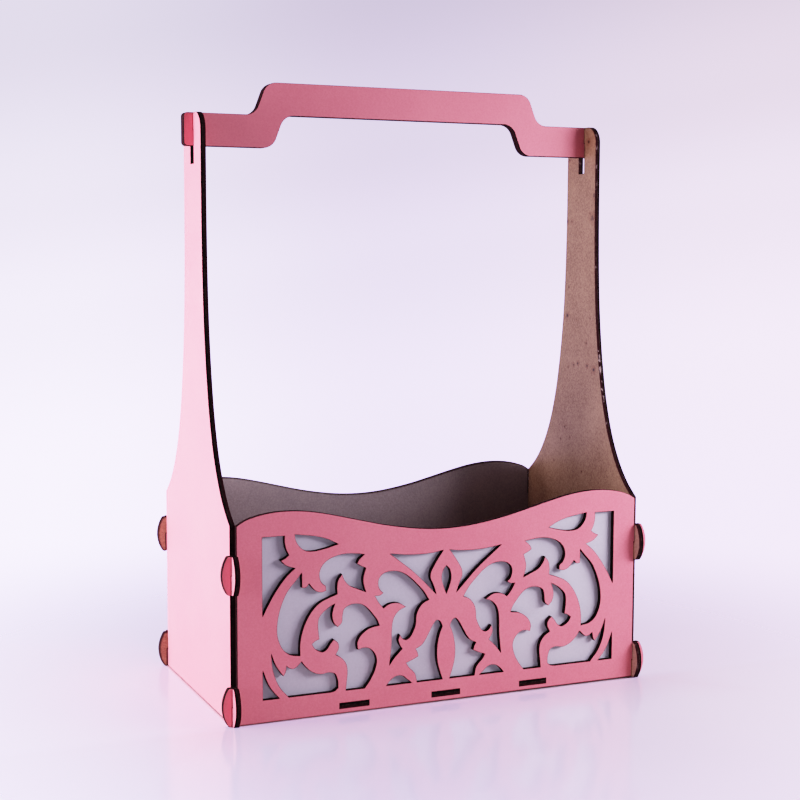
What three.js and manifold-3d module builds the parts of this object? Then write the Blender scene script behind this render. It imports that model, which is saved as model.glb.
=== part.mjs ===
// Openwork carrying basket, cut from flat 3 mm hardboard and slotted together.
// Frame: millimetres, +Z up, origin at the bottom centre, X across the width,
// the openwork front facing -Y.
import * as THREE from 'three';
import { mergeVertices } from 'three/addons/utils/BufferGeometryUtils.js';
import Module from 'manifold-3d';

const wasm = await Module();
wasm.setup();

// ---- driving dimensions -------------------------------------------------
const BOARD = 3.0;            // board thickness
const WIDTH = 250.0;          // over the outer faces of the two side panels
const DEPTH = 134.0;          // over the outer faces of front and back
const PLAY = 0.1;             // slip clearance on every slot wall
const EAR_H = 20.8;           // height of a corner ear
const WALL_EAR = [2.4, 5.2];  // front and back ears past the side panels: straight part, whole
const SIDE_EAR = [2.8, 6.2];  // side panels' ears past front and back: straight part, whole
const EAR_CUT = 0.6;          // small cut at an ear's two corners
const EAR_Z = [0, 70.9];      // bottoms of the lower and upper ears
const RIM_CORNER = 107.4;     // height of the walls at the four corners
const NECK_HALF = 16.8;       // half width of the side panels' necks
const SIDE_TOP = 327.0;       // top of the side panels
const SIDE_TOP_R = 10.0;       // rounding of their top corners
const WINDOW_HALF = 3.2;      // half width of the handle window
const WINDOW_LOW = 299.3;     // window sill
const WINDOW_HIGH = 317.5;    // underside of the bridge above the window
const TAB_X = [-55.4, 0, 55.4]; // floor tabs
const TAB_W = 17.4;           // tab width
const FLOOR_Z = 2.6;          // underside of the floor
const LINER_DROP = 6.0;       // how far the liner's rim stays below the front's
const HANDLE_H = 18.1;        // height of the handle bar
const HANDLE_RISE = 18.2;     // step of the raised grip
const HANDLE_HALF = 130.3;    // half length of the handle
const HANDLE_END_R = 2.0;     // corner rounding at the handle ends
const STEP_TOP_X = 85.9;      // middle of the step in the top edge
const STEP_LOW_X = 75.7;      // middle of the step in the lower edge
const STEP_SLOPE = 69;        // slope of the step, degrees
const STEP_R = 8.2;           // round of each step's two bends
const GLUE = 0.02;            // half of the glue line between the handle layers

const X_IN = WIDTH / 2 - BOARD;      // inner faces of the side panels
const Y_IN = DEPTH / 2 - BOARD;      // inner faces of front and back

// ---- outline helpers ----------------------------------------------------
const v2 = (a, b) => new THREE.Vector2(a, b);

// Smooth curve through points, keeping each given point.
function smooth(points, steps) {
  if (points.length === 2) return points.slice();
  const curve = new THREE.CatmullRomCurve3(
    points.map((p) => new THREE.Vector3(p.x, p.y, 0)), false, 'centripetal');
  return curve.getPoints(steps * (points.length - 1)).map((p) => v2(p.x, p.y));
}

// Closed outline from [a, b] curve points and [a, b, 1] sharp corners.
// The first point is a corner.
function outline(list, steps) {
  const out = [];
  let run = [];
  for (const [a, b, corner] of [...list, list[0]]) {
    run.push(v2(a, b));
    if (corner && run.length > 1) {
      out.push(...smooth(run, steps).slice(0, -1));
      run = [v2(a, b)];
    }
  }
  return out;
}

const mirrored = (list) => list.map(([a, b, c]) => (c ? [-a, b, c] : [-a, b])).reverse();

// Rotate a list so that it starts on a sharp corner.
function fromCorner(list) {
  const k = list.findIndex((p) => p[2]);
  return [...list.slice(k), ...list.slice(0, k)];
}

function arc(cx, cy, r, from, to, steps) {
  const pts = [];
  for (let i = 0; i <= steps; i++) {
    const t = THREE.MathUtils.degToRad(from + ((to - from) * i) / steps);
    pts.push(v2(cx + r * Math.cos(t), cy + r * Math.sin(t)));
  }
  return pts;
}

// Outer edge of an ear, upwards: straight out past `at`, then a shallow round nose.
function earNose(at, low, [straight, out], steps = 10) {
  const h = EAR_H / 2 - EAR_CUT;
  const rise = out - straight;
  const r = (h * h + rise * rise) / (2 * rise);
  const a = THREE.MathUtils.radToDeg(Math.asin(h / r));
  return [
    v2(at + straight - EAR_CUT, low),
    ...arc(at + out - r, low + EAR_H / 2, r, -a, a, steps),
    v2(at + straight - EAR_CUT, low + EAR_H),
  ];
}

const rectangle = (x0, z0, x1, z1) => [v2(x0, z0), v2(x1, z0), v2(x1, z1), v2(x0, z1)];

// A right half, listed upwards from the bottom, closed by its mirror image.
function bothHalves(right) {
  const left = right.filter((p) => Math.abs(p.x) > 1e-6).map((p) => v2(-p.x, p.y)).reverse();
  return [...right, ...left];
}

// A closed prism of an outline, from z = low to z = high.
function prism(points, low, high) {
  const g = new THREE.ExtrudeGeometry(new THREE.Shape(points), { depth: high - low, bevelEnabled: false });
  g.translate(0, 0, low);
  g.deleteAttribute('normal');
  g.deleteAttribute('uv');
  return mergeVertices(g, 1e-4);
}

function toSolid(g) {
  return new wasm.Manifold(new wasm.Mesh({
    numProp: 3,
    vertProperties: Float32Array.from(g.attributes.position.array),
    triVerts: Uint32Array.from(g.index.array),
  }));
}

// Flat board of an outline, with every hole cut right through it.
function board(points, holes, thickness) {
  let solid = toSolid(prism(points, 0, thickness));
  for (const hole of holes) solid = solid.subtract(toSolid(prism(hole, -1, thickness + 1)));
  const mesh = solid.getMesh();
  const xyz = new Float32Array(mesh.numVert * 3);
  for (let i = 0; i < mesh.numVert; i++) {
    for (let k = 0; k < 3; k++) xyz[3 * i + k] = mesh.vertProperties[i * mesh.numProp + k];
  }
  const g = new THREE.BufferGeometry();
  g.setAttribute('position', new THREE.BufferAttribute(xyz, 3));
  g.setIndex(new THREE.BufferAttribute(Uint32Array.from(mesh.triVerts), 1));
  g.computeVertexNormals();
  return g;
}

// ---- the wave of the front and back rims (right half, centre to corner) --
const RIM = [
  [0, 98.1], [12, 98.6], [24, 100.1], [38, 102.7], [52, 106.1], [66, 109.6],
  [78, 112.2], [88, 113.5], [97, 113.8], [105, 113.2], [112, 111.9], [118, 109.9],
];

function rimRight(drop, end, steps) {
  const pts = RIM.map(([x, z]) => v2(x, z - drop));
  pts.push(v2(end, RIM_CORNER - drop));
  const whole = [...pts.slice(1).map((p) => v2(-p.x, p.y)).reverse(), ...pts];
  const curve = smooth(whole, steps);
  return curve.slice((curve.length - 1) / 2);   // centre to corner
}

// ---- openwork of the front, left half ------------------------------------
// Scrolls, leaves and a central bud; each list is one opening in the board.
const OPENWORK_LEFT = [
  // lower corner
  [[-108, 12.4, 1], [-98.7, 12.4, 1], [-102.4, 16.6], [-105.2, 21.2], [-108, 28.6, 1]],
  // tall outer corner with a leaf in it
  [[-108, 57.8, 1], [-104.2, 65], [-99.4, 72.5], [-94.2, 78.8], [-89.6, 82.6, 1], [-94.2, 84.2],
    [-97.8, 87.3, 1], [-95, 88.5], [-93, 90, 1], [-94.6, 93.2], [-95.4, 97], [-95.4, 100.6, 1],
    [-108, 100.6, 1]],
  // floor opening with a curved sliver rising at its outer end
  [[-103.3, 37.4, 1], [-101, 31.2], [-98.6, 27.2], [-96.4, 24.3, 1], [-95.3, 26], [-94.6, 29.6, 1],
    [-92.8, 28.2], [-90.2, 27.8], [-86, 31.2, 1], [-84, 28.4], [-80.3, 25], [-75.5, 23.1],
    [-70, 23.5], [-66.8, 22.4], [-65.2, 18.4], [-65, 14.4, 1], [-67, 12.9], [-69.5, 12.4, 1],
    [-93.4, 12.4, 1], [-98.8, 19], [-102.2, 27.8]],
  // upper eye
  [[-89.6, 100.9, 1], [-88.9, 97.2], [-86.6, 93.8], [-83.4, 91.6], [-78.4, 91.1], [-71.5, 92.2],
    [-64.8, 93.9, 1], [-70.6, 96.9], [-77, 98.9], [-84, 100.1]],
  // crescent and upper scroll
  [[-71.8, 68.9, 1], [-74.6, 68.2], [-77.4, 69], [-79.6, 70.9], [-81.6, 73.5, 1], [-83.4, 71.6],
    [-85.7, 71.6, 1], [-85.8, 75.4], [-85.8, 79.8, 1], [-88.4, 76.6], [-94, 70], [-98, 61],
    [-99.8, 51.6], [-99.3, 45], [-96.5, 38.8], [-92.6, 35.7], [-86.9, 34.5, 1], [-86.9, 41],
    [-85.6, 47.6], [-82.6, 54.6], [-78.7, 59.9], [-74.8, 62.9], [-65.4, 66.5, 1], [-65.6, 70],
    [-64.9, 74], [-62.6, 77.2, 1], [-61.5, 74.4], [-58.4, 70.6], [-54, 68.5], [-48.7, 66.3, 1],
    [-49.8, 69.6], [-50.3, 73.6], [-48.7, 79.5, 1], [-51.4, 80.7], [-53.9, 82.2, 1], [-52.5, 84.6],
    [-49.6, 87.1, 1], [-54.6, 87.9], [-60, 88.3], [-65.6, 87.6], [-70.4, 85.8], [-73.8, 83],
    [-75.6, 79], [-75.4, 75.8], [-74.2, 73.2], [-72.2, 71.4]],
  // inside of the scroll and the lobe under it
  [[-75.8, 42.5, 1], [-78.2, 41.6], [-80, 40.2, 1], [-78.6, 37.8], [-76.4, 36.2], [-73.8, 35.3],
    [-71.4, 36.6], [-69.4, 39.4], [-67.4, 41.6, 1], [-65, 39.4], [-64.5, 36.6], [-66.3, 32.9, 1],
    [-63, 30.9], [-60.2, 27.2], [-59.4, 23], [-60, 16.6], [-60.4, 12.4, 1], [-49.4, 12.4, 1],
    [-46, 16.8], [-43.4, 21.8], [-42.2, 27.4], [-43.6, 31.6], [-47.2, 34.8], [-50.2, 35.1],
    [-53.4, 34.4, 1], [-53.8, 38], [-52.6, 41], [-50.4, 43.4], [-46.6, 45.7], [-40.6, 46.8, 1],
    [-42, 50], [-44.2, 53], [-47.2, 56.6], [-50.6, 59.2], [-54.5, 60.2], [-58.6, 59.6],
    [-61.4, 57.8], [-62.3, 54.4], [-62.8, 50.4], [-65.2, 48.2, 1], [-67.4, 50.6], [-68.4, 54],
    [-68, 57.8], [-66.8, 61.3, 1], [-70.4, 59.4], [-73.6, 57], [-75.8, 54.4], [-76.5, 51.2],
    [-76.3, 46.6]],
  // low dome
  [[-36.4, 12.3, 1], [-21, 12.3, 1], [-24, 14.8], [-26.4, 16.7], [-28.8, 17.3], [-31.4, 16.8],
    [-34.2, 14.8]],
  // wing beside the bud
  [[-38.2, 64.7, 1], [-40.2, 63.5], [-43.2, 63.4, 1], [-41, 59.6], [-38.2, 56.2, 1], [-35, 58],
    [-31.4, 58.6], [-28.4, 58], [-24.6, 55.7, 1], [-28.4, 54.2], [-31.2, 51.4], [-32.6, 48],
    [-33.2, 42], [-33.3, 36], [-33.9, 29.5], [-34.6, 23.6, 1], [-31.6, 27.6], [-26.9, 32.2, 1],
    [-28.6, 35], [-29.2, 37.4], [-28.3, 40.4, 1], [-26.6, 37.9], [-24.6, 37.1], [-22.2, 38.4],
    [-20, 42], [-18.8, 45.4], [-18.4, 50.2], [-17, 53.8], [-14.4, 56.8], [-10.7, 58.5, 1],
    [-14, 63.6], [-18.6, 68.6], [-23, 72.6], [-28.2, 75.6], [-33.6, 76.5], [-38.4, 75.4],
    [-40.9, 72.6], [-41.2, 69.2], [-40.2, 66.6]],
  // triangle above the bud's stem
  [[-34.4, 86.3, 1], [-30, 82.9], [-20.8, 75.6], [-13, 68.2], [-6.2, 61.2, 1], [-8, 66.4],
    [-9.8, 70.6], [-9.6, 73.8], [-7.8, 77.4], [-4.8, 82], [-2, 85.8, 1], [-9, 84.8], [-18, 84.6],
    [-27, 85.2]],
  // foot beside the centre leaf
  [[-18.7, 31.3, 1], [-17.6, 29.4], [-17, 27, 1], [-20, 25.6], [-24.4, 23.9, 1], [-22.8, 21.4],
    [-20.4, 19], [-18.9, 17], [-17.8, 12.3, 1], [-2.2, 12.3, 1], [-3.8, 17], [-5.3, 22.6],
    [-5.7, 27.6], [-5.4, 32.4], [-4.2, 38], [-2.4, 42.6, 1], [-3.6, 45.3], [-5.6, 46.5],
    [-7.6, 44.8], [-10.2, 40.4], [-12.6, 36.2], [-15, 33.2]],
];
const BUD_EYE = [[0, 77, 1], [-1.9, 74.8], [-2.9, 70.2], [-1.6, 65], [0, 61, 1], [1.6, 65],
  [2.9, 70.2], [1.9, 74.8]];

function openwork(steps) {
  const holes = [outline(BUD_EYE, steps)];
  for (const list of OPENWORK_LEFT) {
    holes.push(outline(list, steps));
    holes.push(outline(fromCorner(mirrored(list)), steps));
  }
  return holes;
}

// ---- front and back walls -------------------------------------------------
function wallOutline() {
  const edge = X_IN - PLAY;
  const slot = WIDTH / 2 + PLAY;
  const right = [v2(edge, 0)];
  for (const low of EAR_Z) {
    right.push(v2(edge, low + EAR_H / 2 + PLAY / 2), v2(slot, low + EAR_H / 2 + PLAY / 2));
    right.push(v2(slot, low), ...earNose(WIDTH / 2, low, WALL_EAR));
    right.push(v2(edge, low + EAR_H));
  }
  right.splice(right.length, 0, ...rimRight(0, edge, 2).reverse());
  return right;
}

function cleaned(points) {
  // Drop repeated points and points on a straight stretch.
  const out = [];
  const n = points.length;
  for (let i = 0; i < n; i++) {
    const p = points[i];
    const q = out.length ? out[out.length - 1] : points[n - 1];
    if (p.distanceTo(q) > 1e-3) out.push(p);
  }
  return out.filter((p, i) => {
    const a = out[(i + out.length - 1) % out.length];
    const b = out[(i + 1) % out.length];
    const cross = (p.x - a.x) * (b.y - p.y) - (p.y - a.y) * (b.x - p.x);
    return Math.abs(cross) > 1e-2;
  });
}

const floorSlots = TAB_X.map((x) =>
  rectangle(x - TAB_W / 2 - PLAY / 2, FLOOR_Z - PLAY / 2,
    x + TAB_W / 2 + PLAY / 2, FLOOR_Z + BOARD + PLAY / 2));

// ---- side panels: (y, z) outline with neck, flare and ears -----------------
const FLARE = [
  [Y_IN - PLAY, RIM_CORNER], [54.5, 114.9], [45.8, 124.8], [36.8, 140], [29.4, 160], [24.7, 180],
  [21.4, 200], [19.2, 220], [17.7, 245], [16.95, 275], [NECK_HALF, 300],
];

function sideOutline() {
  const edge = Y_IN - PLAY;
  const slot = DEPTH / 2 + PLAY;
  const right = [];
  for (const low of EAR_Z) {
    if (low > 0) right.push(v2(edge, low));
    right.push(...earNose(DEPTH / 2, low, SIDE_EAR), v2(slot, low + EAR_H));
    right.push(v2(slot, low + EAR_H / 2 - PLAY / 2), v2(edge, low + EAR_H / 2 - PLAY / 2));
  }
  right.push(...smooth(FLARE.map(([y, z]) => v2(y, z)), 3));
  right.push(...arc(NECK_HALF - SIDE_TOP_R, SIDE_TOP - SIDE_TOP_R, SIDE_TOP_R, 0, 90, 6));
  return right;
}

// ---- handle: (x, z) outline ---------------------------------------------
// One step between two levels: an arc, a straight slope and a counter-arc,
// listed from the high end to the low end, towards +X.
function step(midX, high) {
  const s = THREE.MathUtils.degToRad(STEP_SLOPE);
  const half = HANDLE_RISE / 2;
  const r = STEP_R;
  const run = r * Math.sin(s) + (half - r * (1 - Math.cos(s))) / Math.tan(s);
  const first = arc(midX - run, high - r, r, 90, 90 - STEP_SLOPE, 5);
  const second = arc(midX + run, high - HANDLE_RISE + r, r, 270 - STEP_SLOPE, 270, 5);
  return [...first, ...second];
}

function handleOutline() {
  const top = SIDE_TOP;
  const low = top - HANDLE_H;
  const notch0 = X_IN - PLAY;
  const notch1 = WIDTH / 2 + PLAY;
  const r = HANDLE_END_R;
  return [
    ...step(STEP_LOW_X, low + HANDLE_RISE),
    ...arc(HANDLE_HALF - r, low + r, r, 270, 360, 4),
    ...arc(HANDLE_HALF - r, top - r, r, 0, 90, 4),
    v2(notch1, top), v2(notch1, WINDOW_HIGH - PLAY), v2(notch0, WINDOW_HIGH - PLAY), v2(notch0, top),
    ...step(STEP_TOP_X, top + HANDLE_RISE).reverse(),
  ];
}

// ---- floor ----------------------------------------------------------------
function floorOutline() {
  const y = Y_IN - 2 * PLAY;
  const x = X_IN - 2 * PLAY;
  const front = [v2(-x, -y)];
  for (const c of TAB_X) {
    front.push(v2(c - TAB_W / 2, -y), v2(c - TAB_W / 2, -DEPTH / 2),
      v2(c + TAB_W / 2, -DEPTH / 2), v2(c + TAB_W / 2, -y));
  }
  front.push(v2(x, -y));
  return [...front, ...front.map((p) => v2(p.x, -p.y)).reverse()];
}

// ---- assembly -------------------------------------------------------------
const PINK = { color: 0xd98199, roughness: 0.55, metalness: 0 };
const RAW = { color: 0x8c6654, roughness: 0.8, metalness: 0 };
const WHITE = { color: 0xe6e4ec, roughness: 0.6, metalness: 0 };

const group = new THREE.Group();

function add(name, geometry, look) {
  const mesh = new THREE.Mesh(geometry, new THREE.MeshStandardMaterial(look));
  mesh.name = name;
  group.add(mesh);
  return mesh;
}

// Upright boards: outline in (x, z), thickness along +Y from `face`.
function upright(name, points, holes, thickness, face, look) {
  const g = board(points, holes, thickness);
  g.rotateX(Math.PI / 2);           // (x, y, z) -> (x, -z, y)
  g.translate(0, face + thickness, 0);
  return add(name, g, look);
}

// Side boards: outline in (y, z), thickness along +X from `face`.
function sideways(name, points, holes, thickness, face, look) {
  const g = board(points, holes, thickness);
  g.rotateX(Math.PI / 2);
  g.rotateZ(Math.PI / 2);           // (x, y) -> (-y, x)
  g.translate(face, 0, 0);
  return add(name, g, look);
}

const wall = cleaned(bothHalves(wallOutline()));
upright('front_panel', wall, [...openwork(2), ...floorSlots], BOARD, -DEPTH / 2, PINK);
upright('back_panel', wall, floorSlots, BOARD, Y_IN, PINK);

const side = cleaned(bothHalves(sideOutline()));
const handleWindow = rectangle(-WINDOW_HALF, WINDOW_LOW, WINDOW_HALF, WINDOW_HIGH);
sideways('left_side_panel', side, [handleWindow], BOARD, -WIDTH / 2, PINK);
sideways('right_side_panel', side, [handleWindow], BOARD, X_IN, PINK);

const floor = board(floorOutline(), [], BOARD);
floor.translate(0, 0, FLOOR_Z);
add('bottom_panel', floor, RAW);

// White liner standing on the floor, close behind the openwork.
const linerX = X_IN - 0.5;
const linerLow = FLOOR_Z + BOARD + 0.05;
const linerRight = [v2(linerX, linerLow), ...rimRight(LINER_DROP, linerX, 2).reverse()];
upright('front_liner', cleaned(bothHalves(linerRight)), [], BOARD, -Y_IN + 0.05, WHITE);

// The handle is two boards glued back to back, painted faces outwards.
const bar = cleaned(bothHalves(handleOutline()));
upright('handle_front_layer', bar, [], BOARD, -BOARD - GLUE, PINK);
upright('handle_rear_layer', bar, [], BOARD, GLUE, PINK);

export default group;
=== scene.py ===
"""Openwork carrying basket: looks. Laser-cut 3 mm hardboard, painted pink outside,
raw brown inside, charred on every cut edge, with a white liner behind the openwork.
Metres in the scene; the outlines below are millimetres, as the boards were drawn."""

import math

import bmesh
import bpy
import numpy as np
from mathutils import Matrix, Vector
from mathutils.geometry import delaunay_2d_cdt


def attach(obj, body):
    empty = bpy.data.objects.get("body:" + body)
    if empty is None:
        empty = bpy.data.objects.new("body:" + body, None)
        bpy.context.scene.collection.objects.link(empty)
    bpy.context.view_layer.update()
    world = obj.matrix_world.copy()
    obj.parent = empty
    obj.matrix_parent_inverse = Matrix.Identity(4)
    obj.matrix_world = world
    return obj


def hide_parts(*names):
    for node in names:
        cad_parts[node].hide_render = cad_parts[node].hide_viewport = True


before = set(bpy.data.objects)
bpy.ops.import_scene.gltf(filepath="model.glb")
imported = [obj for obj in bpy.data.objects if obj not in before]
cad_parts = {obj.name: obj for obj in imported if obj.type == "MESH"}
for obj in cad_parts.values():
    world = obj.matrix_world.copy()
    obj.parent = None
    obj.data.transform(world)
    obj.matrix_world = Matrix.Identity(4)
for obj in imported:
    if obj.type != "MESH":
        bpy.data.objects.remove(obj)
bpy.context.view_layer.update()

MM = 0.001

# ---------------------------------------------------------------- dimensions
BOARD = 3.0
WIDTH = 250.0
DEPTH = 134.0
PLAY = 0.1
EAR_H = 20.8
WALL_EAR = (2.4, 5.2)
SIDE_EAR = (2.8, 6.2)
EAR_CUT = 0.6
EAR_Z = (0.0, 70.9)
RIM_CORNER = 107.4
NECK_HALF = 16.8
SIDE_TOP = 327.0
SIDE_TOP_R = 10.0
WINDOW_HALF = 3.2
WINDOW_LOW = 299.3
WINDOW_HIGH = 317.5
TAB_X = (-55.4, 0.0, 55.4)
TAB_W = 17.4
FLOOR_Z = 2.6
LINER_DROP = 6.0
HANDLE_H = 18.1
HANDLE_RISE = 18.2
HANDLE_HALF = 130.3
HANDLE_END_R = 2.0
STEP_TOP_X = 85.9
STEP_LOW_X = 75.7
STEP_SLOPE = 69.0
STEP_R = 8.2
GLUE = 0.02
X_IN = WIDTH / 2 - BOARD
Y_IN = DEPTH / 2 - BOARD

SNUG = 0.03            # what is left between boards pressed together
EAR_GAP = 0.35         # gap that shows beside an ear's slot, wider than the fit of the boards
EAR_GAP_SIDE = 0.55    # the same at the side panels' slots
EDGE_ROUND = 0.12      # tiny round that sanding leaves on the cut edges
FINE = 7               # points per stretch of a smooth outline

# ------------------------------------------------------------ outline helpers


def smooth(points, steps):
    """Centripetal Catmull-Rom curve through the points, ends included."""
    p = [np.array(q[:2], float) for q in points]
    if len(p) == 2:
        return [tuple(q) for q in p]
    p = [2 * p[0] - p[1]] + p + [2 * p[-1] - p[-2]]
    out = []
    for i in range(1, len(p) - 2):
        a, b, c, d = p[i - 1:i + 3]
        d0, d1, d2 = (max(float(np.dot(v, v)) ** 0.25, 0.0) for v in (b - a, c - b, d - c))
        d1 = d1 if d1 > 1e-4 else 1.0
        d0 = d0 if d0 > 1e-4 else d1
        d2 = d2 if d2 > 1e-4 else d1
        t1 = ((b - a) / d0 - (c - a) / (d0 + d1) + (c - b) / d1) * d1
        t2 = ((c - b) / d1 - (d - b) / (d1 + d2) + (d - c) / d2) * d1
        for k in range(steps):
            t = k / steps
            q = b + t1 * t + (-3 * b + 3 * c - 2 * t1 - t2) * t * t + (2 * b - 2 * c + t1 + t2) * t ** 3
            out.append((float(q[0]), float(q[1])))
    out.append((float(p[-2][0]), float(p[-2][1])))
    return out


def outline(points, steps=FINE):
    """Closed outline from (a, b) curve points and (a, b, 1) sharp corners."""
    out, run = [], []
    for q in list(points) + [points[0]]:
        run.append(q)
        if len(q) == 3 and len(run) > 1:
            out += smooth(run, steps)[:-1]
            run = [q]
    return out


def mirrored(points):
    flipped = [(-q[0],) + tuple(q[1:]) for q in points][::-1]
    k = next(i for i, q in enumerate(flipped) if len(q) == 3)
    return flipped[k:] + flipped[:k]


def arc(cx, cy, r, start, end, steps):
    return [(cx + r * math.cos(math.radians(start + (end - start) * i / steps)),
             cy + r * math.sin(math.radians(start + (end - start) * i / steps)))
            for i in range(steps + 1)]


def ear_nose(at, low, ear, steps=24):
    straight, out = ear
    h = EAR_H / 2 - EAR_CUT
    rise = out - straight
    r = (h * h + rise * rise) / (2 * rise)
    a = math.degrees(math.asin(h / r))
    return ([(at + straight - EAR_CUT, low)]
            + arc(at + out - r, low + EAR_H / 2, r, -a, a, steps)
            + [(at + straight - EAR_CUT, low + EAR_H)])


def rectangle(x0, z0, x1, z1):
    return [(x0, z0), (x1, z0), (x1, z1), (x0, z1)]


def both_halves(right):
    return right + [(-a, b) for a, b in reversed(right) if abs(a) > 1e-6]


def cleaned(points):
    out = []
    for i, q in enumerate(points):
        last = out[-1] if out else points[-1]
        if math.dist(q, last) > 1e-3:
            out.append(q)
    return out


# --------------------------------------------------------------- the outlines
RIM = [(0, 98.1), (12, 98.6), (24, 100.1), (38, 102.7), (52, 106.1), (66, 109.6), (78, 112.2),
       (88, 113.5), (97, 113.8), (105, 113.2), (112, 111.9), (118, 109.9)]


def rim_right(drop, end, steps=FINE):
    """The wavy rim from the centre to the right corner."""
    pts = [(x, z - drop) for x, z in RIM] + [(end, RIM_CORNER - drop)]
    whole = [(-x, z) for x, z in pts[:0:-1]] + pts
    curve = smooth(whole, steps)
    return curve[(len(curve) - 1) // 2:]


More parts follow.
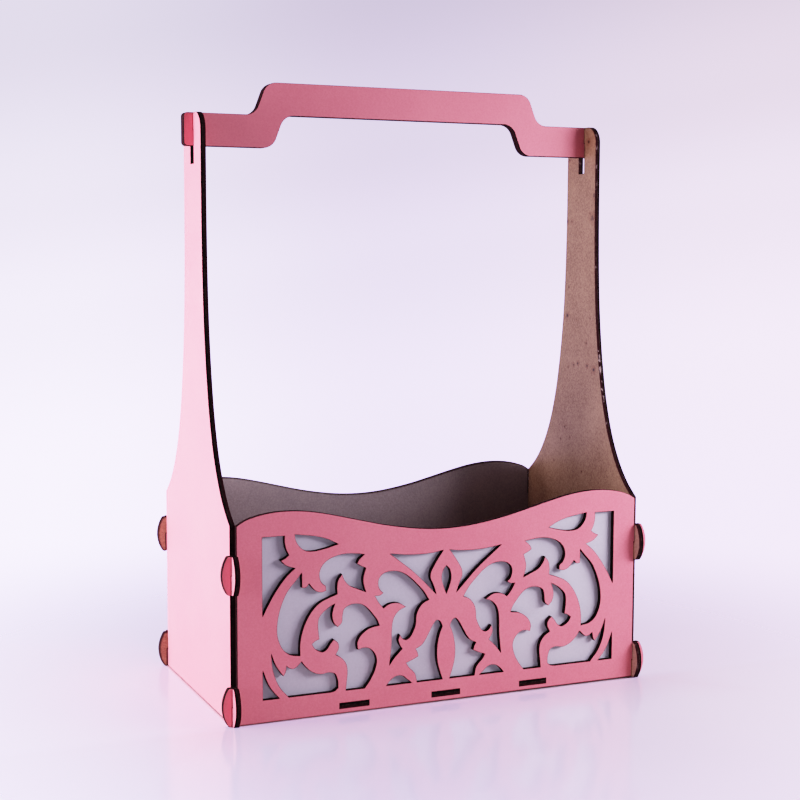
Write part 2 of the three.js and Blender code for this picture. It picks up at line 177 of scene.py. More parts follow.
# The openwork, left half: scrolls, leaves and a central bud.
OPENWORK_LEFT = [
    # lower corner
    [(-108, 12.4, 1), (-98.7, 12.4, 1), (-102.4, 16.6), (-105.2, 21.2), (-108, 28.6, 1)],
    # tall outer corner with a leaf in it
    [(-108, 57.8, 1), (-104.2, 65), (-99.4, 72.5), (-94.2, 78.8), (-89.6, 82.6, 1), (-94.2, 84.2),
     (-97.8, 87.3, 1), (-95, 88.5), (-93, 90, 1), (-94.6, 93.2), (-95.4, 97), (-95.4, 100.6, 1),
     (-108, 100.6, 1)],
    # floor opening with a curved sliver rising at its outer end
    [(-103.3, 37.4, 1), (-101, 31.2), (-98.6, 27.2), (-96.4, 24.3, 1), (-95.3, 26), (-94.6, 29.6, 1),
     (-92.8, 28.2), (-90.2, 27.8), (-86, 31.2, 1), (-84, 28.4), (-80.3, 25), (-75.5, 23.1),
     (-70, 23.5), (-66.8, 22.4), (-65.2, 18.4), (-65, 14.4, 1), (-67, 12.9), (-69.5, 12.4, 1),
     (-93.4, 12.4, 1), (-98.8, 19), (-102.2, 27.8)],
    # upper eye
    [(-89.6, 100.9, 1), (-88.9, 97.2), (-86.6, 93.8), (-83.4, 91.6), (-78.4, 91.1), (-71.5, 92.2),
     (-64.8, 93.9, 1), (-70.6, 96.9), (-77, 98.9), (-84, 100.1)],
    # crescent and upper scroll
    [(-71.8, 68.9, 1), (-74.6, 68.2), (-77.4, 69), (-79.6, 70.9), (-81.6, 73.5, 1), (-83.4, 71.6),
     (-85.7, 71.6, 1), (-85.8, 75.4), (-85.8, 79.8, 1), (-88.4, 76.6), (-94, 70), (-98, 61),
     (-99.8, 51.6), (-99.3, 45), (-96.5, 38.8), (-92.6, 35.7), (-86.9, 34.5, 1), (-86.9, 41),
     (-85.6, 47.6), (-82.6, 54.6), (-78.7, 59.9), (-74.8, 62.9), (-65.4, 66.5, 1), (-65.6, 70),
     (-64.9, 74), (-62.6, 77.2, 1), (-61.5, 74.4), (-58.4, 70.6), (-54, 68.5), (-48.7, 66.3, 1),
     (-49.8, 69.6), (-50.3, 73.6), (-48.7, 79.5, 1), (-51.4, 80.7), (-53.9, 82.2, 1), (-52.5, 84.6),
     (-49.6, 87.1, 1), (-54.6, 87.9), (-60, 88.3), (-65.6, 87.6), (-70.4, 85.8), (-73.8, 83),
     (-75.6, 79), (-75.4, 75.8), (-74.2, 73.2), (-72.2, 71.4)],
    # inside of the scroll and the lobe under it
    [(-75.8, 42.5, 1), (-78.2, 41.6), (-80, 40.2, 1), (-78.6, 37.8), (-76.4, 36.2), (-73.8, 35.3),
     (-71.4, 36.6), (-69.4, 39.4), (-67.4, 41.6, 1), (-65, 39.4), (-64.5, 36.6), (-66.3, 32.9, 1),
     (-63, 30.9), (-60.2, 27.2), (-59.4, 23), (-60, 16.6), (-60.4, 12.4, 1), (-49.4, 12.4, 1),
     (-46, 16.8), (-43.4, 21.8), (-42.2, 27.4), (-43.6, 31.6), (-47.2, 34.8), (-50.2, 35.1),
     (-53.4, 34.4, 1), (-53.8, 38), (-52.6, 41), (-50.4, 43.4), (-46.6, 45.7), (-40.6, 46.8, 1),
     (-42, 50), (-44.2, 53), (-47.2, 56.6), (-50.6, 59.2), (-54.5, 60.2), (-58.6, 59.6),
     (-61.4, 57.8), (-62.3, 54.4), (-62.8, 50.4), (-65.2, 48.2, 1), (-67.4, 50.6), (-68.4, 54),
     (-68, 57.8), (-66.8, 61.3, 1), (-70.4, 59.4), (-73.6, 57), (-75.8, 54.4), (-76.5, 51.2),
     (-76.3, 46.6)],
    # low dome
    [(-36.4, 12.3, 1), (-21, 12.3, 1), (-24, 14.8), (-26.4, 16.7), (-28.8, 17.3), (-31.4, 16.8),
     (-34.2, 14.8)],
    # wing beside the bud
    [(-38.2, 64.7, 1), (-40.2, 63.5), (-43.2, 63.4, 1), (-41, 59.6), (-38.2, 56.2, 1), (-35, 58),
     (-31.4, 58.6), (-28.4, 58), (-24.6, 55.7, 1), (-28.4, 54.2), (-31.2, 51.4), (-32.6, 48),
     (-33.2, 42), (-33.3, 36), (-33.9, 29.5), (-34.6, 23.6, 1), (-31.6, 27.6), (-26.9, 32.2, 1),
     (-28.6, 35), (-29.2, 37.4), (-28.3, 40.4, 1), (-26.6, 37.9), (-24.6, 37.1), (-22.2, 38.4),
     (-20, 42), (-18.8, 45.4), (-18.4, 50.2), (-17, 53.8), (-14.4, 56.8), (-10.7, 58.5, 1),
     (-14, 63.6), (-18.6, 68.6), (-23, 72.6), (-28.2, 75.6), (-33.6, 76.5), (-38.4, 75.4),
     (-40.9, 72.6), (-41.2, 69.2), (-40.2, 66.6)],
    # triangle above the bud's stem
    [(-34.4, 86.3, 1), (-30, 82.9), (-20.8, 75.6), (-13, 68.2), (-6.2, 61.2, 1), (-8, 66.4),
     (-9.8, 70.6), (-9.6, 73.8), (-7.8, 77.4), (-4.8, 82), (-2, 85.8, 1), (-9, 84.8), (-18, 84.6),
     (-27, 85.2)],
    # foot beside the centre leaf
    [(-18.7, 31.3, 1), (-17.6, 29.4), (-17, 27, 1), (-20, 25.6), (-24.4, 23.9, 1), (-22.8, 21.4),
     (-20.4, 19), (-18.9, 17), (-17.8, 12.3, 1), (-2.2, 12.3, 1), (-3.8, 17), (-5.3, 22.6),
     (-5.7, 27.6), (-5.4, 32.4), (-4.2, 38), (-2.4, 42.6, 1), (-3.6, 45.3), (-5.6, 46.5),
     (-7.6, 44.8), (-10.2, 40.4), (-12.6, 36.2), (-15, 33.2)],
]
BUD_EYE = [(0, 77, 1), (-1.9, 74.8), (-2.9, 70.2), (-1.6, 65), (0, 61, 1), (1.6, 65), (2.9, 70.2),
           (1.9, 74.8)]


def openwork():
    holes = [outline(BUD_EYE)]
    for points in OPENWORK_LEFT:
        holes += [outline(points), outline(mirrored(points))]
    return holes


def wall_outline():
    """The edge is a hair inside the side panel where that passes through, and a hair
    over it in between, so that the corner closes."""
    edge, over, slot = X_IN - SNUG, X_IN + 0.12, WIDTH / 2 + EAR_GAP
    right = []
    for low in EAR_Z:
        mid = low + EAR_H / 2 + PLAY / 2
        if low > 0:
            right.append((over, low - SNUG))
        right += [(edge, low - SNUG if low > 0 else low), (edge, mid), (slot, mid), (slot, low)]
        right += ear_nose(WIDTH / 2, low, WALL_EAR)
        right.append((over, low + EAR_H))
    return cleaned(both_halves(right + rim_right(0, over)[::-1]))


FLOOR_SLOTS = [rectangle(x - TAB_W / 2 - PLAY / 2, FLOOR_Z - PLAY / 2, x + TAB_W / 2 + PLAY / 2,
                         FLOOR_Z + BOARD + PLAY / 2) for x in TAB_X]

FLARE = [(Y_IN - SNUG, RIM_CORNER), (54.5, 114.9), (45.8, 124.8), (36.8, 140), (29.4, 160), (24.7, 180),
         (21.4, 200), (19.2, 220), (17.7, 245), (16.95, 275), (NECK_HALF, 300)]


def side_outline():
    edge, slot = Y_IN - SNUG, DEPTH / 2 + EAR_GAP_SIDE
    right = []
    for low in EAR_Z:
        if low > 0:
            right.append((edge, low))
        mid = low + EAR_H / 2 - PLAY / 2
        right += ear_nose(DEPTH / 2, low, SIDE_EAR) + [(slot, low + EAR_H), (slot, mid), (edge, mid)]
    right += smooth(FLARE, 10)
    right += arc(NECK_HALF - SIDE_TOP_R, SIDE_TOP - SIDE_TOP_R, SIDE_TOP_R, 0, 90, 18)
    return cleaned(both_halves(right))


HANDLE_WINDOW = rectangle(-WINDOW_HALF, WINDOW_LOW, WINDOW_HALF, WINDOW_HIGH)


def step(mid_x, high):
    s = math.radians(STEP_SLOPE)
    run = STEP_R * math.sin(s) + (HANDLE_RISE / 2 - STEP_R * (1 - math.cos(s))) / math.tan(s)
    return (arc(mid_x - run, high - STEP_R, STEP_R, 90, 90 - STEP_SLOPE, 14)
            + arc(mid_x + run, high - HANDLE_RISE + STEP_R, STEP_R, 270 - STEP_SLOPE, 270, 14))


def handle_outline():
    top, low, r = SIDE_TOP, SIDE_TOP - HANDLE_H, HANDLE_END_R
    n0, n1 = X_IN - PLAY, WIDTH / 2 + PLAY
    right = (step(STEP_LOW_X, low + HANDLE_RISE)
             + arc(HANDLE_HALF - r, low + r, r, 270, 360, 8)
             + arc(HANDLE_HALF - r, top - r, r, 0, 90, 8)
             + [(n1, top), (n1, WINDOW_HIGH - PLAY), (n0, WINDOW_HIGH - PLAY), (n0, top)]
             + step(STEP_TOP_X, top + HANDLE_RISE)[::-1])
    return cleaned(both_halves(right))


def floor_outline():
    y, x = Y_IN - 2 * PLAY, X_IN - 2 * PLAY
    front = [(-x, -y)]
    for c in TAB_X:
        front += [(c - TAB_W / 2, -y), (c - TAB_W / 2, -DEPTH / 2), (c + TAB_W / 2, -DEPTH / 2),
                  (c + TAB_W / 2, -y)]
    front.append((x, -y))
    return front + [(a, -b) for a, b in reversed(front)]


def liner_outline():
    x = X_IN - 0.5
    return cleaned(both_halves([(x, FLOOR_Z + BOARD + 0.05)] + rim_right(LINER_DROP, x)[::-1]))


# ------------------------------------------------------------ boards as meshes


def area(loop):
    a = np.array(loop)
    b = np.roll(a, -1, 0)
    return 0.5 * float(np.sum(a[:, 0] * b[:, 1] - b[:, 0] * a[:, 1]))


def split_long(loop, longest):
    """Long straight stretches get extra points, so that the shading stays even."""
    out = []
    for i, q in enumerate(loop):
        nxt = loop[(i + 1) % len(loop)]
        n = max(1, int(math.ceil(math.dist(q, nxt) / longest)))
        out += [(q[0] + (nxt[0] - q[0]) * k / n, q[1] + (nxt[1] - q[1]) * k / n) for k in range(n)]
    return out


def inset(loop, amount):
    """The loop moved into the board by amount; the board lies on the left of the loop."""
    p = np.array(loop)
    d = np.roll(p, -1, 0) - p
    d /= np.linalg.norm(d, axis=1)[:, None]
    n = np.stack([-d[:, 1], d[:, 0]], 1)
    before = np.roll(n, 1, 0)
    m = n + before
    m /= np.maximum(1 + np.sum(n * before, 1), 0.45)[:, None]
    return p + amount * m


def inside(points, loops):
    """Which points lie in the board: within the outline and in none of its holes."""
    hit = np.zeros(len(points), bool)
    x, y = points[:, 0], points[:, 1]
    for loop in loops:
        for (ax, ay), (bx, by) in zip(loop, np.roll(loop, -1, 0)):
            if ay != by:
                cross = ((ay > y) != (by > y)) & (x < ax + (y - ay) * (bx - ax) / (by - ay))
                hit ^= cross
    return hit


def near_cuts(loops):
    """Points on the face a little way in from its cut edges, with that distance."""
    seg_a = np.concatenate([np.array(loop) for loop in loops])
    seg_b = np.concatenate([np.roll(np.array(loop), -1, 0) for loop in loops])
    run = seg_b - seg_a
    length2 = np.sum(run * run, 1)
    found, away = [], []
    for amount, every in ((0.30, 1), (0.75, 1), (1.5, 2)):
        for loop in loops:
            pts = inset(loop, amount)[::every]
            for q in pts:
                t = np.clip(np.sum((q - seg_a) * run, 1) / length2, 0, 1)
                d = float(np.sqrt(np.min(np.sum((seg_a + run * t[:, None] - q) ** 2, 1))))
                if d > amount * 0.85 and all(abs(q[0] - f[0]) + abs(q[1] - f[1]) > 0.12 for f in found[-40:]):
                    found.append((float(q[0]), float(q[1])))
                    away.append(d)
    if not found:
        return [], []
    keep = inside(np.array(found), loops)
    return [f for f, k in zip(found, keep) if k], [d for d, k in zip(away, keep) if k]


def board(name, outer, holes, place, thickness=BOARD, looks=(0, 1, 2), edge_round=EDGE_ROUND):
    """A closed board. place(a, b, h) puts outline point (a, b) at height h of the
    thickness; looks are the material slots of the h = thickness face, the h = 0 face
    and the cut edges."""
    loops = [split_long(loop, 1.4) for loop in [outer, *holes]]
    loops = [loop if (area(loop) > 0) == (i == 0) else loop[::-1] for i, loop in enumerate(loops)]
    c = edge_round
    rings = [(0.0, c), (0.293 * c, 0.293 * c), (c, 0.0), (thickness - c, 0.0),
             (thickness - 0.293 * c, 0.293 * c), (thickness, c)]
    start, count = [], 0
    for loop in loops:
        start.append(count)
        count += len(loop)
    flat = [[inset(loop, amount) for loop in loops] for _, amount in rings]
    verts, coords = [], []
    for (height, _), ring in zip(rings, flat):
        for loop in ring:
            for a, b in loop:
                verts.append(place(a, b, height))
                coords.append((a, b))
    from_cut = [0.0] * len(verts)
    faces, slots, uvs = [], [], []
    inner, inner_away = near_cuts(flat[0])
    for k in range(len(rings) - 1):
        for s, loop in zip(start, loops):
            n = len(loop)
            lengths = [math.dist(loop[i], loop[(i + 1) % n]) for i in range(n)]
            run = 0.0
            for i in range(n):
                j = (i + 1) % n
                faces.append((k * count + s + i, k * count + s + j, (k + 1) * count + s + j,
                              (k + 1) * count + s + i))
                slots.append(looks[2])
                h0, h1 = rings[k][0], rings[k + 1][0]
                uvs.append([(run, h0), (run + lengths[i], h0), (run + lengths[i], h1), (run, h1)])
                run += lengths[i]
    for k, look, up in ((len(rings) - 1, looks[0], True), (0, looks[1], False)):
        pts = [Vector(q) for loop in flat[k] for q in loop] + [Vector(q) for q in inner]
        number = [k * count + i for i in range(count)] + [len(verts) + i for i in range(len(inner))]
        verts += [place(a, b, rings[k][0]) for a, b in inner]
        coords += inner
        from_cut += inner_away
        edges = [(s + i, s + (i + 1) % len(loop)) for s, loop in zip(start, loops)
                 for i in range(len(loop))]
        made = delaunay_2d_cdt(pts, edges, [], 1, 1e-6)
        source = [o[0] for o in made[3]]
        tris = [[source[i] for i in tri] for tri in made[2]]
        keep = inside(np.array([sum((pts[i] for i in q), Vector((0, 0))) / 3 for q in tris]), flat[k])
        for q, solid in zip(tris, keep):
            if not solid:
                continue
            w = [pts[i] for i in q]
            turn = (w[1] - w[0]).cross(w[2] - w[0])
            if (turn > 0) != up:
                q.reverse()
            faces.append(tuple(number[i] for i in q))
            slots.append(look)
            uvs.append([coords[number[i]] for i in q])
    mesh = bpy.data.meshes.new(name)
    mesh.from_pydata(verts, [], faces)
    mesh.polygons.foreach_set("material_index", slots)
    mesh.attributes.new("from_cut", "FLOAT", "POINT").data.foreach_set("value", from_cut)
    layer = mesh.uv_layers.new(name="board")
    layer.data.foreach_set("uv", [x * 0.1 for face in uvs for q in face for x in q])
    mesh.polygons.foreach_set("use_smooth", [True] * len(faces))
    bm = bmesh.new()
    bm.from_mesh(mesh)
    loose = [v for v in bm.verts if not v.link_faces]
    bmesh.ops.delete(bm, geom=loose, context="VERTS")
    bmesh.ops.recalc_face_normals(bm, faces=bm.faces)
    bm.to_mesh(mesh)
    bm.free()
    mesh.set_sharp_from_angle(angle=math.radians(32))
    mesh.update()
    obj = bpy.data.objects.new(name, mesh)
    bpy.context.scene.collection.objects.link(obj)
    return obj


def facing_front(y0, thickness=BOARD):
    """Upright board whose h = thickness face looks to -Y, starting at y0."""
    return lambda a, b, h: (a * MM, (y0 + thickness - h) * MM, b * MM)


def facing_back(y0):
    return lambda a, b, h: (a * MM, (y0 + h) * MM, b * MM)


def facing_left(x0, thickness=BOARD):
    return lambda a, b, h: ((x0 + thickness - h) * MM, a * MM, b * MM)


def facing_right(x0):
    return lambda a, b, h: ((x0 + h) * MM, a * MM, b * MM)


# ------------------------------------------------------------------ materials


class Tree:
    """Short-hand for building a node material."""

    def __init__(self, name):
        self.mat = bpy.data.materials.new(name)
        self.mat.use_nodes = True
        self.nt = self.mat.node_tree
        self.nt.nodes.clear()
        self.out = self.nt.nodes.new("ShaderNodeOutputMaterial")
        self.shader = self.nt.nodes.new("ShaderNodeBsdfPrincipled")
        self.nt.links.new(self.shader.outputs["BSDF"], self.out.inputs["Surface"])
        coords = self.nt.nodes.new("ShaderNodeTexCoord")
        self.object = coords.outputs["Object"]
        uv = self.nt.nodes.new("ShaderNodeUVMap")
        uv.uv_map = "board"
        self.uv = uv.outputs["UV"]
        cut = self.nt.nodes.new("ShaderNodeAttribute")
        cut.attribute_name = "from_cut"
        self.from_cut = cut.outputs["Fac"]

    def put(self, socket, value):
        if hasattr(value, "is_linked"):
            self.nt.links.new(value, socket)
        else:
            socket.default_value = value

    def node(self, kind, **inputs):
        n = self.nt.nodes.new(kind)
        for key, value in inputs.items():
            self.put(n.inputs[key], value)
        return n

    def math(self, op, a, b=None, c=None, clamp=False):
        n = self.nt.nodes.new("ShaderNodeMath")
        n.operation = op
        n.use_clamp = clamp
        for i, value in enumerate((a, b, c)):
            if value is not None:
                self.put(n.inputs[i], value)
        return n.outputs[0]

    def scaled(self, vector, by):
        n = self.nt.nodes.new("ShaderNodeMapping")
        self.put(n.inputs["Vector"], vector)
        n.inputs["Scale"].default_value = by
        return n.outputs[0]

    def noise(self, vector, scale, detail=3.0, rough=0.55, distortion=0.0):
        n = self.node("ShaderNodeTexNoise", Vector=vector, Scale=scale, Detail=detail, Roughness=rough,
                      Distortion=distortion)
        return n.outputs["Fac"]

    def cells(self, vector, scale, feature="F1", randomness=1.0):
        n = self.nt.nodes.new("ShaderNodeTexVoronoi")
        n.feature = feature
        self.put(n.inputs["Vector"], vector)
        n.inputs["Scale"].default_value = scale
        n.inputs["Randomness"].default_value = randomness
        return n

    def ramp(self, value, low, high, to_low=0.0, to_high=1.0, smooth_step=True):
        n = self.nt.nodes.new("ShaderNodeMapRange")
        n.interpolation_type = "SMOOTHSTEP" if smooth_step else "LINEAR"
        n.clamp = True
        for key, v in (("Value", value), ("From Min", low), ("From Max", high), ("To Min", to_low),
                       ("To Max", to_high)):
            self.put(n.inputs[key], v)
        return n.outputs["Result"]

    def mix(self, fac, a, b, kind="MIX"):
        n = self.nt.nodes.new("ShaderNodeMix")
        n.data_type = "RGBA"
        n.blend_type = kind
        self.put(n.inputs["Factor"], fac)
        for key, v in ((6, a), (7, b)):
            self.put(n.inputs[key], v if hasattr(v, "is_linked") else (*v, 1.0))
        return n.outputs[2]

    def bump(self, height, strength, distance, normal=None):
        n = self.node("ShaderNodeBump", Height=height, Strength=strength, Distance=distance)
        if normal is not None:
            self.put(n.inputs["Normal"], normal)
        return n.outputs["Normal"]

    def set(self, **inputs):
        for key, value in inputs.items():
            self.put(self.shader.inputs[key.replace("_", " ")], value)
        return self.mat


def painted(name, colour):
    """Satin paint on hardboard: faint mottling, the board's fibre showing as fine
    grain, a few specks of dust and soot caught in the paint, and painted contact shade: a
    dark line along the edge that the basket stands on, stronger towards +X."""
    t = Tree(name)
    deep = tuple(x * y for x, y in zip(colour, (0.93, 0.85, 0.88)))
    pale = tuple(min(1.0, x * y) for x, y in zip(colour, (1.03, 1.07, 1.05)))
    clouds = t.noise(t.object, 26.0, 3.0, 0.6)
    grain = t.noise(t.object, 900.0, 3.0, 0.7)
    fibres = t.noise(t.scaled(t.uv, (2.0, 9.0, 1.0)), 6.0, 3.0, 0.65, 0.4)
    tone = t.math("ADD", t.math("MULTIPLY", clouds, 0.24),
                  t.math("ADD", t.math("MULTIPLY", grain, 0.44), t.math("MULTIPLY", fibres, 0.32)))
    base = t.mix(t.ramp(tone, 0.36, 0.64), deep, pale)
    spots = t.cells(t.object, 170.0)
    size = t.math("MULTIPLY", t.math("POWER", spots.outputs["Color"], 9.0), 0.16)
    speck = t.ramp(t.math("SUBTRACT", size, spots.outputs["Distance"]), 0.0, 0.03)
    base = t.mix(t.math("MULTIPLY", speck, 0.45), base, (0.16, 0.05, 0.05))
    ragged = t.math("ADD", t.from_cut, t.math("MULTIPLY", t.math("SUBTRACT", grain, 0.5), 0.25))
    base = t.mix(t.ramp(ragged, 0.02, 0.32, 0.35, 0.0), base, (0.10, 0.018, 0.018))
    place = t.node("ShaderNodeSeparateXYZ", Vector=t.object)
    # painted contact shade: the bottom millimetre of paint darkens where the board meets the floor, more towards +X
    foot_height = t.math("ADD", place.outputs["Z"], t.math("MULTIPLY", t.math("SUBTRACT", fibres, 0.5), 0.0006))
    painted_contact_shade = t.math("MULTIPLY", t.ramp(foot_height, 0.0002, 0.0009, 0.9, 0.0), t.ramp(place.outputs["X"], -0.09, 0.06, 0.4, 1.0))
    base = t.mix(painted_contact_shade, base, (0.045, 0.010, 0.012))
    rough = t.ramp(t.math("ADD", t.math("MULTIPLY", grain, 0.6), t.math("MULTIPLY", clouds, 0.4)),
                   0.3, 0.7, 0.46, 0.58)
    peel = t.noise(t.object, 420.0, 2.0, 0.5)
    normal = t.bump(peel, 0.10, 0.0004, t.bump(grain, 0.12, 0.0002))
    return t.set(Base_Color=base, Roughness=rough, Normal=normal, Specular_IOR_Level=0.3)


def raw_board(name, spots=(), sheen=0.4, painted_sheen=0.0):
    """Bare hardboard: pressed brown fibres, dark bark specks, singed along the cuts. The
    painted sheen is a pale grey cast painted on the face between the side panels, in place of
    light reflected off the board. A board with singed spots is also darker above 270 mm, around its handle window, and
    has a painted pink glow of bounced light on its ears."""
    t = Tree(name)
    clouds = t.noise(t.object, 38.0, 4.0, 0.6)
    fibre_a = t.noise(t.scaled(t.uv, (1.2, 8.0, 1.0)), 7.0, 4.0, 0.7, 0.8)
    fibre_b = t.noise(t.scaled(t.uv, (7.0, 1.5, 1.0)), 6.0, 4.0, 0.7, 0.8)
    grain = t.noise(t.object, 800.0, 3.0, 0.75)
    tone = t.math("ADD", t.math("MULTIPLY", t.math("ADD", fibre_a, fibre_b), 0.25),
                  t.math("ADD", t.math("MULTIPLY", grain, 0.34), t.math("MULTIPLY", clouds, 0.16)))
    base = t.mix(t.ramp(tone, 0.39, 0.61), (0.188, 0.096, 0.060), (0.390, 0.244, 0.162))
    # painted sheen: a pale grey cast painted on the face between the side panels, standing in for reflected light
    if painted_sheen:
        place = t.node("ShaderNodeSeparateXYZ", Vector=t.object)
        sheen_grey = t.mix(t.ramp(tone, 0.37, 0.63), (0.285, 0.268, 0.300), (0.385, 0.362, 0.404))
        base = t.mix(t.ramp(t.math("ABSOLUTE", place.outputs["X"]), 0.1215, 0.1225, painted_sheen, 0.0), base, sheen_grey)
    for scale, power, reach, soft, strength in ((430.0, 4.0, 0.42, 0.16, 0.60), (240.0, 6.0, 0.30, 0.08, 0.75),
                                                (110.0, 8.0, 0.16, 0.04, 0.80)):
        dots = t.cells(t.object, scale)
        size = t.math("MULTIPLY", t.math("POWER", dots.outputs["Color"], power), reach)
        spot = t.ramp(t.math("SUBTRACT", size, dots.outputs["Distance"]), 0.0, soft)
        base = t.mix(t.math("MULTIPLY", spot, strength), base, (0.052, 0.022, 0.014))
    patch = t.ramp(t.noise(t.object, 70.0, 2.0, 0.5), 0.50, 0.72, 0.15, 1.0)
    ragged = t.math("ADD", t.from_cut, t.math("MULTIPLY", t.math("SUBTRACT", grain, 0.5), 0.5))
    base = t.mix(t.math("MULTIPLY", t.ramp(ragged, 0.1, 1.5, 0.55, 0.0), patch), base, (0.20, 0.070, 0.030))
    base = t.mix(t.ramp(ragged, 0.05, 1.05 if painted_sheen else 0.40, 0.92 if painted_sheen else 0.85, 0.0), base, (0.022, 0.006, 0.005))
    if spots:
        spread = t.node("ShaderNodeSeparateXYZ", Vector=t.object)
        # darker above 270 mm, around the handle window
        base = t.mix(t.ramp(spread.outputs["Z"], 0.270, 0.325), base, (0.91, 0.87, 0.83), "MULTIPLY")
        # painted bounce light: a pale pink glow painted on the ears, which stand clear of the front and back
        painted_bounce_glow = t.ramp(t.math("ABSOLUTE", spread.outputs["Y"]), 0.0672, 0.0690, 0.0, 0.2)
        base = t.mix(painted_bounce_glow, base, (0.55, 0.40, 0.42))
    for place, radius, strength in spots:
        away = t.nt.nodes.new("ShaderNodeVectorMath")
        away.operation = "DISTANCE"
        t.put(away.inputs[0], t.object)
        away.inputs[1].default_value = place
        blot = t.math("ADD", away.outputs["Value"], t.math("MULTIPLY", t.math("SUBTRACT", grain, 0.5), radius))
        base = t.mix(t.ramp(blot, radius * 0.9, radius * 2.6, strength * 0.5, 0.0), base, (0.17, 0.055, 0.024))
        base = t.mix(t.ramp(blot, radius * 0.35, radius * 1.0, strength, 0.0), base, (0.030, 0.010, 0.007))
    rough = t.ramp(tone, 0.35, 0.65, 0.56, 0.46)
    normal = t.bump(tone, 0.22, 0.0004, t.bump(grain, 0.15, 0.0002))
    return t.set(Base_Color=base, Roughness=rough, Normal=normal, Specular_IOR_Level=sheen)


def charred(name):
    """Laser-cut edge: soot-black, scorched maroon towards the raw face, streaked across
    the thickness, with a faint grey-brown line along it. The edges at the basket's corners
    have pale chips where they were knocked."""
    t = Tree(name)
    streaks = t.noise(t.scaled(t.uv, (26.0, 1.2, 1.0)), 3.0, 3.0, 0.6)
    lumps = t.noise(t.object, 320.0, 3.0, 0.6)
    parts = t.node("ShaderNodeSeparateXYZ", Vector=t.uv)
    depth = t.math("MULTIPLY", parts.outputs["Y"], 10.0 / BOARD)
    base = t.mix(t.ramp(lumps, 0.35, 0.65), (0.0030, 0.0014, 0.0015), (0.0090, 0.0042, 0.0042))
    scorch = t.math("MULTIPLY", t.ramp(depth, 0.22, 0.66, 1.0, 0.06), t.ramp(streaks, 0.32, 0.66, 0.2, 1.0))
    base = t.mix(scorch, base, (0.060, 0.018, 0.022))
    line = t.ramp(t.math("ABSOLUTE", t.math("SUBTRACT", depth, 0.56)), 0.02, 0.13, 1.0, 0.0)
    tone = t.math("MULTIPLY", line, t.ramp(t.math("ADD", streaks, lumps), 0.85, 1.20, 0.0, 0.75))
    base = t.mix(tone, base, (0.095, 0.066, 0.060))
    corner = t.ramp(depth, 0.30, 0.55, 1.0, 0.10)
    knocked = t.ramp(t.noise(t.scaled(t.object, (1.0, 1.0, 0.55)), 620.0, 2.0, 0.6), 0.55, 0.63)
    worn = t.ramp(t.noise(t.object, 21.0, 2.0, 0.5), 0.46, 0.56)
    place = t.node("ShaderNodeSeparateXYZ", Vector=t.object)
    outer = t.math("MULTIPLY", t.ramp(place.outputs["X"], 0.1205, 0.1215),
                   t.math("MULTIPLY", t.ramp(place.outputs["X"], 0.1250, 0.1255, 1.0, 0.0),
                          t.math("MULTIPLY", t.ramp(place.outputs["Z"], 0.10, 0.16, 0.22, 1.0),
                                 t.ramp(place.outputs["Z"], 0.20, 0.26, 1.0, 0.45))))
    chip = t.math("MULTIPLY", t.math("MULTIPLY", corner, knocked), t.math("MULTIPLY", worn, outer))
    base = t.mix(t.math("MULTIPLY", chip, 0.8), base, (0.50, 0.38, 0.37))
    rough = t.ramp(lumps, 0.3, 0.7, 0.75, 0.95)
    normal = t.bump(streaks, 0.5, 0.0002, t.bump(lumps, 0.3, 0.0003))
    return t.set(Base_Color=base, Roughness=rough, Normal=normal, Specular_IOR_Level=0.06)


def white_liner(name):
    """Smooth white board: faintly cool, faintly mottled."""
    t = Tree(name)
    clouds = t.noise(t.object, 22.0, 3.0, 0.55)
    grain = t.noise(t.object, 700.0, 3.0, 0.7)
    tone = t.math("ADD", t.math("MULTIPLY", clouds, 0.6), t.math("MULTIPLY", grain, 0.4))
    base = t.mix(t.ramp(tone, 0.35, 0.65), (0.565, 0.545, 0.61), (0.625, 0.605, 0.675))
    rough = t.ramp(grain, 0.3, 0.7, 0.42, 0.56)
    normal = t.bump(grain, 0.08, 0.0002)
    return t.set(Base_Color=base, Roughness=rough, Normal=normal, Specular_IOR_Level=0.45)


PINK = (0.805, 0.262, 0.308)
pink = painted("pink_paint", PINK)
# Singed spots on the inside of the right panel: (y, z) in mm, size in mm, strength.
SINGED = [((-8.4, 318.1), 1.0, 0.8), ((-14.2, 271.8), 1.8, 0.45), ((16.2, 270.3), 0.8, 0.85),
          ((10.6, 270.4), 0.6, 0.5), ((-15.6, 285.6), 1.4, 0.4), ((15.1, 211.6), 1.2, 0.6),
          ((-11.2, 274.8), 0.5, 0.55), ((13.6, 229.2), 0.55, 0.55), ((3.4, 209.5), 0.5, 0.5),
          ((-13.0, 210.7), 0.5, 0.5), ((14.7, 308.4), 0.8, 0.6), ((12.7, 179.0), 0.5, 0.5),
          ((6.0, 181.0), 0.6, 0.65), ((1.1, 182.1), 0.8, 0.85), ((-10.3, 181.4), 0.8, 0.85),
          ((-18.2, 179.5), 1.2, 0.75), ((-8.9, 195.4), 0.55, 0.65), ((16.3, 140.7), 0.55, 0.65),
          ((9.5, 134.7), 0.5, 0.5), ((21.3, 132.6), 0.5, 0.6), ((-5.3, 114.8), 0.55, 0.65),
          ((29.4, 117.6), 0.5, 0.6)]
raw = raw_board("raw_hardboard")
raw_singed = raw_board("raw_hardboard_singed",
                       [((X_IN * MM, y * MM, z * MM), 1.3 * r * MM, min(0.97, 1.35 * k)) for (y, z), r, k in SINGED])
# the back panel's inside, with a painted sheen between the side panels
raw_painted_sheen = raw_board("raw_hardboard_painted_sheen", (), 0.6, 0.63)
char = charred("charred_edge")
white = white_liner("white_board")

# ------------------------------------------------------------------ the pieces
wall = wall_outline()
side = side_outline()
bar = handle_outline()


def finish_piece(obj, node, body, slot, *materials):
    for m in materials:
        obj.data.materials.append(m)
    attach(obj, body)
    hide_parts(node)
    return obj


